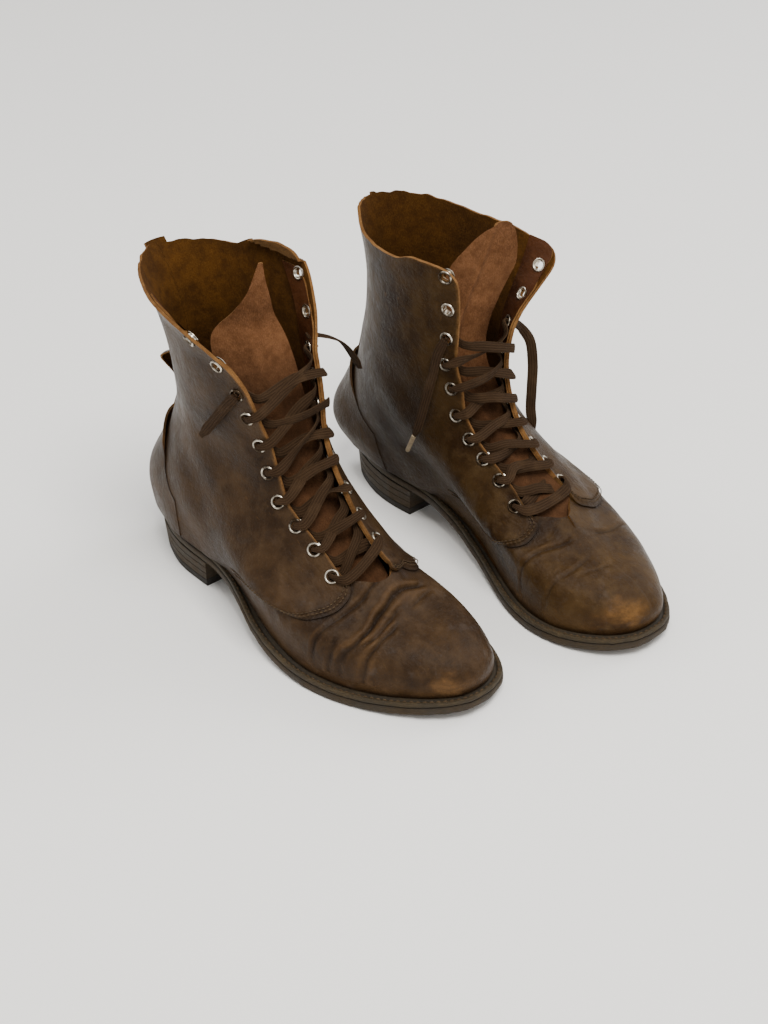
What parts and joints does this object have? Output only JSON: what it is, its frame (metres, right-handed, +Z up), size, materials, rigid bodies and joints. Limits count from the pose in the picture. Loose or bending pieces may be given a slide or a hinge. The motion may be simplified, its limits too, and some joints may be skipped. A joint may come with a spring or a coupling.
{
  "type": "lace-up boots",
  "caption": "Pair of worn brown leather lace-up ankle boots with metal eyelets, suede tongues, stitched-down quarters over a plain toe, leather soles and low block heels.",
  "frame": {"origin": "on the floor, under the centre of the pair's bounding box measured without the loose lace ends", "axes": "+X towards the toes, +Y from the right boot towards the left boot, +Z up"},
  "size_m": [0.3487, 0.2674, 0.2364],
  "materials": {
    "upper_leather": "worn, waxed smooth leather, creased and scuffed",
    "rough_leather": "rough suede side of the leather",
    "sole_leather": "thick vegetable-tanned leather, dull and dark",
    "rubber": "matt, worn",
    "nickel": "nickel plate, slightly dulled",
    "steel": "plain",
    "cork": "ground cork and pitch",
    "lace_cotton": "woven flat cotton lace",
    "aglet_plastic": "stiffened lace tip"
  },
  "bodies": {
    "right_boot": {"right_outsole": "sole_leather", "right_heel_lift": "rubber", "right_heel_stack": "sole_leather", "right_insole": "rough_leather", "right_cork_filler": "cork", "right_shank": "steel", "right_welt": "sole_leather", "right_vamp": "upper_leather", "right_toe_puff": "sole_leather", "right_quarter_lateral": "upper_leather", "right_quarter_medial": "upper_leather", "right_stay_lateral": "rough_leather", "right_stay_medial": "rough_leather", "right_eyelets_lateral": "nickel", "right_eyelets_medial": "nickel", "right_backstay": "upper_leather", "right_heel_stiffener": "sole_leather", "right_heel_pocket": "upper_leather", "right_lace": "lace_cotton", "right_tail_lateral": "lace_cotton", "right_tail_medial": "lace_cotton"},
    "right_tongue_body": {"right_tongue": "rough_leather"},
    "right_flap_lateral_body": {"right_flap_lateral": "upper_leather", "right_flap_stay_lateral": "rough_leather", "right_flap_eyelets_lateral": "nickel"},
    "right_flap_medial_body": {"right_flap_medial": "upper_leather", "right_flap_stay_medial": "rough_leather", "right_flap_eyelets_medial": "nickel"},
    "left_boot": {"left_outsole": "sole_leather", "left_heel_lift": "rubber", "left_heel_stack": "sole_leather", "left_insole": "rough_leather", "left_cork_filler": "cork", "left_shank": "steel", "left_welt": "sole_leather", "left_vamp": "upper_leather", "left_toe_puff": "sole_leather", "left_quarter_lateral": "upper_leather", "left_quarter_medial": "upper_leather", "left_stay_lateral": "rough_leather", "left_stay_medial": "rough_leather", "left_eyelets_lateral": "nickel", "left_eyelets_medial": "nickel", "left_backstay": "upper_leather", "left_heel_stiffener": "sole_leather", "left_heel_pocket": "upper_leather", "left_lace": "lace_cotton", "left_tail_lateral": "lace_cotton", "left_tail_medial": "lace_cotton", "left_aglet_medial": "aglet_plastic", "left_aglet_lateral": "aglet_plastic"},
    "left_tongue_body": {"left_tongue": "rough_leather"},
    "left_flap_lateral_body": {"left_flap_lateral": "upper_leather", "left_flap_stay_lateral": "rough_leather", "left_flap_eyelets_lateral": "nickel"},
    "left_flap_medial_body": {"left_flap_medial": "upper_leather", "left_flap_stay_medial": "rough_leather", "left_flap_eyelets_medial": "nickel"}
  },
  "joints": [
    {"name": "left_boot_slide", "type": "slide", "parent": "right_boot", "child": "left_boot", "axis": [0, 1, 0], "range_m": [0, 0.25]},
    {"name": "right_tongue_bend", "type": "hinge", "parent": "right_boot", "child": "right_tongue_body", "pos_m": [0.05205, -0.07381, 0.0558], "axis": [0, -1, 0], "range_deg": [0, 13]},
    {"name": "right_flap_lateral_fold", "type": "hinge", "parent": "right_boot", "child": "right_flap_lateral_body", "pos_m": [-0.07652, -0.12112, 0.21376], "axis": [0.8991, 0.1202, -0.4209], "range_deg": [0, 50]},
    {"name": "right_flap_medial_fold", "type": "hinge", "parent": "right_boot", "child": "right_flap_medial_body", "pos_m": [-0.07628, -0.03224, 0.21461], "axis": [-0.9053, 0.0738, 0.4184], "range_deg": [0, 50]},
    {"name": "left_tongue_bend", "type": "hinge", "parent": "left_boot", "child": "left_tongue_body", "pos_m": [0.08025, 0.07381, 0.0558], "axis": [0, -1, 0], "range_deg": [0, 13]},
    {"name": "left_flap_lateral_fold", "type": "hinge", "parent": "left_boot", "child": "left_flap_lateral_body", "pos_m": [-0.04832, 0.12112, 0.21376], "axis": [-0.8991, 0.1202, 0.4209], "range_deg": [0, 50]},
    {"name": "left_flap_medial_fold", "type": "hinge", "parent": "left_boot", "child": "left_flap_medial_body", "pos_m": [-0.04808, 0.03224, 0.21461], "axis": [0.9053, 0.0738, -0.4184], "range_deg": [0, 50]}
  ]
}
